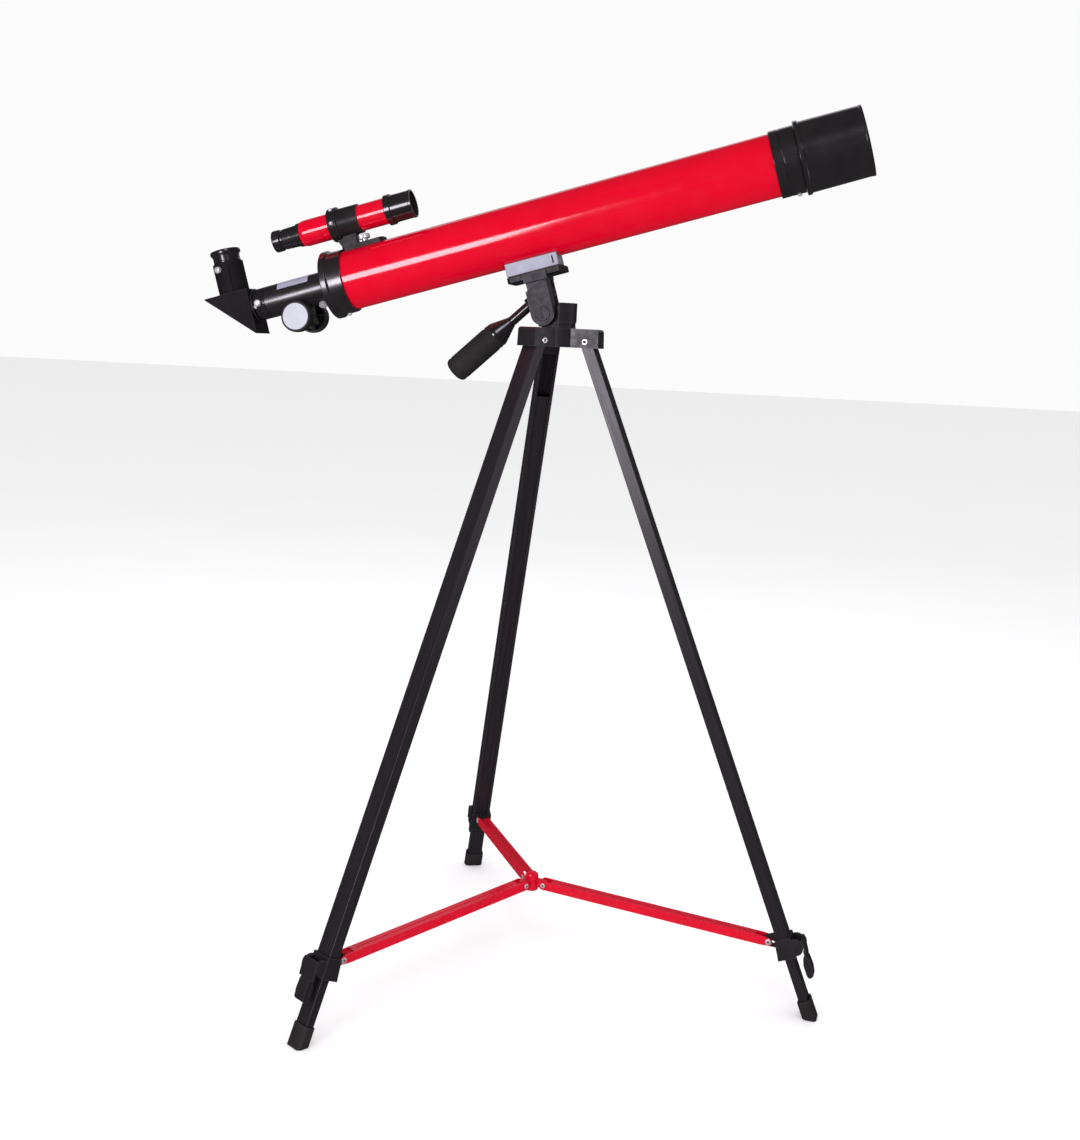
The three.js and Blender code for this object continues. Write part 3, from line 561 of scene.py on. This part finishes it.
def add_objective():
    front = TUBE["front"]
    turned_piece("objective_cell_turned", [
        (front - 5.4, 30.3), (front - 5.4, 31.6), (front - 4.9, 32), (front + 3.2, 32),
        (front + 3.5, 31.6), (front + 4.1, 31.6), (front + 4.4, 32), (front + 17.8, 32),
        (front + 17.8, 27.4), (front + 4.3, 27.4), (front + 4.3, 24.8), (front + 0.4, 24.8),
        (front + 0.4, 30.3),
    ], TUBE_PLACE, "objective_cell", lined=8)
    turned_piece("dew_shield_turned", [
        (front + 11.4, 27.1), (front + 18.1, 27.1), (front + 18.1, 34.6), (front + 18.7, 35.2),
        (front + 22, 35.2), (front + 22.6, 34.6), (front + 22.9, 33.7), (front + 78.6, 33.1),
        (front + 79, 33.5), (front + 81, 33.5), (front + 81.3, 33.1), (front + 81.3, 31.6),
        (front + 24, 31.6), (front + 20, 25.4), (front + 11.4, 25.4),
    ], TUBE_PLACE, "dew_shield", lined=11)
    turned_piece("objective_lens_ground",
                 lens_profile(front + 4.6, front + 11, radius=27.1, rim=3.6),
                 TUBE_PLACE, "objective_lens", soft=0)


def lens_profile(back, front, radius, rim, steps=10):
    """A lens bulging on both sides between back and front, with a flat rim."""
    bulge = (front - back - rim) / 2
    rear_face = [(back + bulge * (k / steps) ** 2, radius * k / steps) for k in range(steps + 1)]
    front_face = [(front - bulge * (k / steps) ** 2, radius * k / steps)
                  for k in range(steps, -1, -1)]
    return rear_face + front_face


def add_rear_collar():
    back = TUBE["rear"] - 10
    turned_piece("rear_collar_turned", [
        (back, 33.6), (back + 0.9, 34.6), (back + 6, 34.6), (back + 6.8, 34.1), (back + 7.4, 32.8),
        (back + 8.2, 32.5), (back + 22, 32.2), (back + 22.5, 31.8), (back + 22.5, 30.3),
        (back + 4, 30.3), (back + 4, 16.8), (back, 16.8),
    ], TUBE_PLACE, "rear_collar", look=SEMI_GLOSS, lined=9)


def small_screw(name, matrix, body, radius=2.0, high=1.4):
    """A round-headed screw standing on its place, pointing along x."""
    fitting(name, [
        (-0.4, 0), (-0.4, radius), (high * 0.35, radius), (high * 0.8, radius * 0.75),
        (high, radius * 0.4), (high * 0.7, radius * 0.3), (high * 0.6, 0),
    ], matrix, body, "bright_metal", sides=24, soft=0.08)


def add_tube_screws():
    for name, s, radius in (("collar", TUBE["rear"] + 3, 32.4), ("cell", TUBE["front"] + 11, 32)):
        for side, degrees in (("below", 180), ("far", -60)):
            where = radial(TUBE_PLACE, s, radius, degrees)
            small_screw(f"{name}_screw_{side}", where, "telescope", radius=2.2, high=2.2)


def add_focuser():
    softened("focuser_housing", TUBE_PLACE, look=SEMI_GLOSS, soft=0.5)
    softened("draw_tube", TUBE_PLACE, soft=0.4)
    bent_sheet("focuser_label", LABEL["radius"], (LABEL["rear"], LABEL["front"]),
               LABEL["degrees"], 0.2, TUBE_PLACE, "telescope", "black_gloss", LABEL_FILM)
    thumb_screw("focus_lock_screw", "focus_lock_turn", start=14.6, shaft=2.6, radius=4.4, head=4.6)
    thumb_screw("nose_screw", "nose_screw_turn", start=12.9, shaft=3.9, radius=3.6, head=4.8)
    thumb_screw("eyepiece_screw", "eyepiece_screw_turn",
                start=12.9, shaft=3.3, radius=3.4, head=4.6)


def add_nose_detail():
    where = aimed(moved(TUBE_PLACE, -326, -15.4, -2.8), (0, -1, 0))
    small_screw("nose_lock_screw", where, "draw", radius=2.1, high=1.8)


def thumb_screw(node, joint, start, shaft, radius, head):
    """A screw with a fluted, domed head, turning about its joint's axis."""
    top = start + shaft + head
    turned_piece(f"{node}_fluted", [
        (start, 0), (start, 1.5), (start + shaft, 1.5), (start + shaft, radius - 0.5),
        (start + shaft + 0.5, radius), (top - 0.9, radius), (top - 0.3, radius - 0.9),
        (top, radius - 2), (top, 0),
    ], hinge_place(joint), node, soft=0.12, sides=120,
        flutes=[(start + shaft + 0.4, top - 0.8, 20, 0.35)])


def add_knobs():
    softened("pinion_shaft", TUBE_PLACE, soft=0.2)
    centre = moved(TUBE_PLACE, KNOB["s"], 0, KNOB["t"])
    radius, inner, outer = KNOB["radius"], KNOB["inner"], KNOB["outer"]
    for name, side in BOTH_SIDES:
        where = aimed(centre, (0, side, 0))
        softened(f"focus_knob_{name}", where, soft=0.4)
        fitting(f"focus_rim_{name}", [
            (inner + 0.8, radius - 0.4), (inner + 0.8, radius), (inner + 1.5, radius + 0.35),
            (outer - 2.4, radius + 0.35), (outer - 0.8, radius - 0.2), (outer, radius - 1.4),
            (outer, radius - 2.2), (outer - 2, radius - 2.2), (outer - 2, radius - 0.6),
        ], where, "focus_drive", "black_satin", sides=216, soft=0.1,
            flutes=[(inner + 1.4, outer - 2.3, 36, 0.45)])
        fitting(f"focus_disc_{name}", [
            (outer - 0.5, 0), (outer - 0.5, radius - 2.3), (outer + 0.05, radius - 2.3),
            (outer + 0.35, radius - 2.8), (outer + 0.35, 0),
        ], where, "focus_drive", "silver", look=DISC, soft=0.1)


# ---------------------------------------------------------------- diagonal and eyepiece


def add_diagonal():
    softened("diagonal_housing", TUBE_PLACE, look=DARK_CASTING, soft=0.6)
    softened("diagonal_mirror", TUBE_PLACE, soft=0.2)
    s = PIVOT_S + 20.4
    turned_piece("diagonal_nose_turned", [
        (s + 0.3, 11), (s + 0.3, 17), (s + 0.8, 17.6), (s + 2.2, 17.6), (s + 2.6, 17),
        (s + 2.6, 12.25), (s + 24.6, 12.25), (s + 25, 11.9), (s + 25, 11),
    ], TUBE_PLACE, "diagonal_nose", lined=8)
    holder = moved(TUBE_PLACE, PIVOT_S, 0, 0)
    block("holder_rib", (4.2, 1.4, 25), moved(holder, 3.5, -15.6, 30.5), "diagonal",
          "black_satin", look=DARK_CASTING, soft=0.5)
    boss_place = aimed(hinge_place("eyepiece_screw_turn"), (1, 0, 0), (0, 0, 1))
    fitting("holder_boss", [
        (13.5, 2.2), (13.5, 4.6), (15.9, 4.3), (16.2, 3.9), (16.2, 2.2),
    ], boss_place, "diagonal", "black_satin", look=DARK_CASTING, sides=48, soft=0.2)


def add_eyepiece():
    up = aimed(moved(TUBE_PLACE, PIVOT_S, 0, 50.3), (0, 0, 1))
    turned_piece("eyepiece_barrel_turned", [
        (-26, 12), (-25.6, 12.25), (0, 12.25), (0, 13.7), (0.4, 14.1), (1.6, 14.1), (2, 13.8),
        (7.4, 13.8), (7.8, 14.1), (8.6, 14.2), (9.3, 15.3), (9.9, 15.6), (12.4, 15.6),
        (13.2, 15.1), (13.4, 14.5), (13.4, 9.4), (13, 9), (9.2, 8), (9.2, 7.4), (8, 7.4),
        (8, 8.9), (-26, 10.9),
    ], up, "eyepiece_barrel", soft=0.12, lined=19)
    turned_piece("eye_lens_ground", lens_profile(3.4, 7.4, radius=8.4, rim=2.2), up, "eye_lens",
                 soft=0)


# ---------------------------------------------------------------- finder scope


def add_finder():
    rear, front = FINDER["rear"], FINDER["front"]
    turned_piece("finder_tube_painted", [
        (rear, 12.0), (rear + 0.4, 12.4), (rear + 4.5, 13.3), (front, 13.3),
        (front, 12.2), (rear + 5.5, 12.2), (rear, 11.2),
    ], FINDER_PLACE, "finder_tube", soft=0.12, lined=3)
    turned_piece("finder_front_cell_turned", [
        (front - 7.7, 13.6), (front - 7.7, 15.2), (front - 7.4, 15.5), (front - 2, 15.5),
        (front - 1.5, 15.1), (front - 1.2, 14.1), (front + 17.6, 13.9), (front + 18, 14.3),
        (front + 20.1, 14.3), (front + 20.4, 14), (front + 20.4, 12.7), (front + 2.2, 12.7),
        (front + 2.2, 11), (front + 0.4, 11), (front + 0.4, 13.6),
    ], FINDER_PLACE, "finder_front_cell", soft=0.12, lined=10)
    turned_piece("finder_lens_ground", lens_profile(front + 2.5, front + 6, radius=12.4, rim=2),
                 FINDER_PLACE, "finder_lens", soft=0)


def add_finder_eyepiece():
    end = FINDER["rear"] - 31
    turned_piece("finder_eyepiece_turned", [
        (end, 10.4), (end + 0.3, 10.9), (end + 1, 11.2), (end + 7.6, 11.1), (end + 8.2, 10.7),
        (end + 8.8, 9.4), (end + 10.4, 9.4), (end + 11, 10.4), (end + 19, 10.8),
        (end + 19.3, 10.5), (end + 20, 10.5), (end + 20.3, 10.8), (end + 26.8, 11.2),
        (end + 27.2, 12), (end + 30.6, 12.2), (end + 30.6, 10.9), (end + 45, 10.9),
        (end + 45, 9.8), (end + 12, 7.6), (end + 5, 5.5), (end, 7.5),
    ], FINDER_PLACE, "finder_eyepiece", soft=0.12, lined=17)


def add_finder_bracket():
    softened("finder_bracket", TUBE_PLACE, look=BRACKET_BLACK, soft=0.6)
    nut = hinge_place("bracket_nut_turn", (1, 0, 0))
    turned_piece("bracket_nut_fluted", [
        (0, 0), (0, 3.2), (3, 3.2), (3, 5.4), (3.5, 5.9), (7.2, 5.9), (7.8, 5.2), (8, 4), (8, 0),
    ], nut, "bracket_nut", soft=0.12, sides=120, flutes=[(3.4, 7.3, 20, 0.4)])
    for number, degrees in enumerate((35, 90, -55), 1):
        where = radial(FINDER_PLACE, FINDER["ring"], 17.3, degrees)
        small_screw(f"finder_screw_{number}", where, "telescope", radius=2.1, high=2.0)


# ---------------------------------------------------------------- head


def add_head():
    softened("tube_saddle", TUBE_PLACE, soft=1.3)
    softened("head_platform", TUBE_PLACE, soft=0.6)
    softened("tilt_body", TUBE_PLACE, look=CASTING, soft=2.2)
    softened("tilt_bolt", TUBE_PLACE, look=CASTING, soft=0.35)
    softened("pan_base", soft=0.8)
    # a thin flat-black block on the saddle's near face: painted shade standing for the inside of a slot
    block("saddle_slot_painted_shade", (1.4, 0.5, 7.5), moved(TUBE_PLACE, -16.5, -15, -33), "telescope",
          "black_satin", look=LINING_AND_SHADE, soft=0.2)
    cheek = [(-48, -46.4), (-25.4, -46.4), (-26.4, -47.8), (-47.4, -56.6)]
    inside, outside = 14.6, 15.7
    for name, side in BOTH_SIDES:
        plate(f"flip_bracket_{name}", cheek, (side * inside, side * outside), TUBE_PLACE,
              "telescope", "black_satin", BRACKET, 0.35)
    cap = aimed(hinge_place("tilt"), (-1, 0, 0), (0, 0, 1))
    fitting("tilt_cap_ring", [
        (14.4, 8.0), (14.4, 9.2), (15.1, 9.0), (15.1, 8.2),
    ], cap, "telescope", "black_satin", look=CASTING, soft=0.1)


def add_handle():
    turned_piece("handle_rod_turned", [
        (-4, 0), (-4, 2.5), (7.6, 2.5), (7.6, 4.6), (8, 5), (30.5, 5), (30.5, 4), (95, 4), (95, 0),
    ], HANDLE_PLACE, "handle_rod", sides=48, look=LOOKS["black_gloss"])
    turned_piece("handle_grip_ribbed", [
        (108.4, 0), (108.4, 6.4), (107.8, 9), (106.6, 11.2), (104.6, 12.5), (102.4, 12.9),
        (101.6, 12.4), (100.8, 12.4), (100, 12.9), (58, 12.9), (57.2, 12.3), (56, 12.3),
        (55.2, 12.9), (53.6, 12.9), (52.8, 12.4), (51.6, 12.7),
        (49.3, 12.6), (47.5, 12.1), (32.5, 5.9), (30.8, 5.4), (30.8, 4.3), (95.3, 4.3), (95.3, 0),
    ], HANDLE_PLACE, "handle_grip", soft=0.2, sides=256, lined=15,
        lining=LOOKS["black_gloss"], flutes=[(57.9, 99.9, 32, 0.5)])


# ---------------------------------------------------------------- tripod


def add_crown():
    softened("crown", look=CROWN_BLACK, soft=1.1)


def painted_shade_discs(name, span, radii, matrix, body):
    """A flat-black disc of painted shade in each head of a rivet, standing for the inside of its hollow, from a
    span along it and the radii there.
    """
    (back, front), (wide, narrow) = span, radii
    profile = [(back, 0), (back, wide), (front, narrow), (front, 0)]
    for side_name, side in BOTH_SIDES:
        fitting(f"{name}_{side_name}", profile, aimed(matrix, (side, 0, 0), (0, 0, 1)), body,
                "black_satin", look=LINING_AND_SHADE, sides=24, soft=0)


def tubular_rivet(name, node, matrix, half_span, radius):
    """A bright rivet with a rolled head at each end, and a disc of painted shade in the hollow of each head."""
    head = half_span + 0.9
    turned_piece(name, [
        (-head + 0.5, 0), (-head + 0.5, radius * 0.4), (-head, radius * 0.55),
        (-head, radius * 0.8), (-half_span, radius), (-half_span, 1.9), (half_span, 1.9),
        (half_span, radius), (head, radius * 0.8), (head, radius * 0.55),
        (head - 0.5, radius * 0.4), (head - 0.5, 0),
    ], matrix, node, sides=40, soft=0.12)
    painted_shade_discs(f"{name}_hollow", (head - 0.45, head - 0.3), (radius * 0.42, radius * 0.38),
                 matrix, BODIES[node])


def add_leg(number):
    leg = leg_place(number)
    softened(f"upper_leg_{number}", leg, soft=0.7)
    softened(f"lower_leg_{number}", leg, soft=0.5)
    softened(f"foot_{number}", leg, soft=0.8)
    softened(f"leg_clamp_{number}", leg, soft=0.5)
    softened(f"clamp_lever_{number}", leg, soft=0.5)
    pin = place(leg.translation, JOINTS[f"leg_{number}_fold"]["axis"], (0, 0, 1))
    tubular_rivet(f"leg_pin_{number}", f"leg_rivet_{number}", pin, half_span=12.5, radius=3.1)


def add_arm(number):
    arm = arm_place(number)
    softened(f"spreader_arm_{number}", arm, soft=0.5)
    across = arm.col[1].xyz
    for node, radius in ((f"hub_rivet_{number}", 2.7), (f"knee_rivet_{number}", 3.2)):
        pin = place(box_middle(node), across, (0, 0, 1))
        softened(node, pin, soft=0.25)
        # a flat-black disc in each rivet head: painted shade for the inside of its dimple
        painted_shade_discs(f"{node}_dimple", (6.75, 7.05), (radius * 0.36, radius * 0.3), pin,
                     BODIES[node])


# ---------------------------------------------------------------- stage


def add_floor():
    builder = bmesh.new()
    bmesh.ops.create_grid(builder, x_segments=1, y_segments=1, size=FLOOR_REACH)
    floor = bpy.data.objects.new("floor", mesh_of(builder, "floor"))
    bpy.context.scene.collection.objects.link(floor)
    look = Look("pale_floor", (0.93, 0.93, 0.935), 0.6)
    look.set(Emission_Color=(1, 1, 1, 1), Emission_Strength=0.13)
    look.vary_color(look.noise(3), (0.915, 0.915, 0.92))
    floor.data.materials.append(look.material)
    floor.visible_glossy = False


def add_world():
    world = bpy.data.worlds.new("studio")
    world.use_nodes = True
    tree = world.node_tree
    background = tree.nodes["Background"]
    background.inputs["Color"].default_value = (1, 1, 1, 1)
    # the surroundings look white, light the object softly and are dim in its reflections
    path = tree.nodes.new("ShaderNodeLightPath")
    value = WORLD_LIGHT
    for ray, strength in (("Is Glossy Ray", WORLD_GLOSS), ("Is Camera Ray", WORLD_SEEN)):
        choice = tree.nodes.new("ShaderNodeMix")
        tree.links.new(path.outputs[ray], choice.inputs["Factor"])
        if isinstance(value, float):
            choice.inputs[FLOAT_A].default_value = value
        else:
            tree.links.new(value, choice.inputs[FLOAT_A])
        choice.inputs[FLOAT_B].default_value = strength
        value = choice.outputs[FLOAT_RESULT]
    tree.links.new(value, background.inputs["Strength"])
    # not sampled as a lamp: it lights only by the rays that reach it
    world.cycles.sampling_method = "NONE"
    bpy.context.scene.world = world


def add_panel(name, origin, target, size, power):
    """A soft box of light at a place, facing a target."""
    light = bpy.data.lights.new(name, "AREA")
    light.color = PANEL_COLOR
    light.shape = "RECTANGLE"
    light.size, light.size_y = size
    light.energy = power
    obj = bpy.data.objects.new(name, light)
    bpy.context.scene.collection.objects.link(obj)
    obj.location = Vector(origin) * MM
    facing = Vector(target) - Vector(origin)
    obj.rotation_euler = facing.to_track_quat("-Z", "Y").to_euler()


def add_camera():
    heading, pitch, roll = (math.radians(a) for a in (CAMERA_HEADING, CAMERA_PITCH, CAMERA_ROLL))
    forward = Vector((-math.sin(heading) * math.cos(pitch), math.cos(heading) * math.cos(pitch),
                      math.sin(pitch)))
    level = Vector((math.cos(heading), math.sin(heading), 0))
    above = level.cross(forward)
    right = level * math.cos(roll) + above * math.sin(roll)
    up = above * math.cos(roll) - level * math.sin(roll)
    camera = bpy.data.objects.new("camera", bpy.data.cameras.new("camera"))
    bpy.context.scene.collection.objects.link(camera)
    camera.matrix_world = Matrix((right, up, -forward)).transposed().to_4x4()
    camera.location = Vector(CAMERA_PLACE) * MM
    camera.data.lens = CAMERA_LENS
    camera.data.shift_x, camera.data.shift_y = CAMERA_SHIFT
    bpy.context.scene.camera = camera


# ---------------------------------------------------------------- the whole

add_main_tube()
add_objective()
add_rear_collar()
add_tube_screws()
add_focuser()
add_nose_detail()
add_knobs()
add_diagonal()
add_eyepiece()
add_finder()
add_finder_eyepiece()
add_finder_bracket()
add_head()
add_handle()
add_crown()
for leg_number in range(1, LEG_COUNT + 1):
    add_leg(leg_number)
    add_arm(leg_number)
softened("spreader_hub", soft=0.5)

add_floor()
add_world()
for panel in PANELS:
    add_panel(*panel)
add_camera()
bpy.context.scene.view_settings.view_transform = "Standard"

bpy.context.view_layer.update()
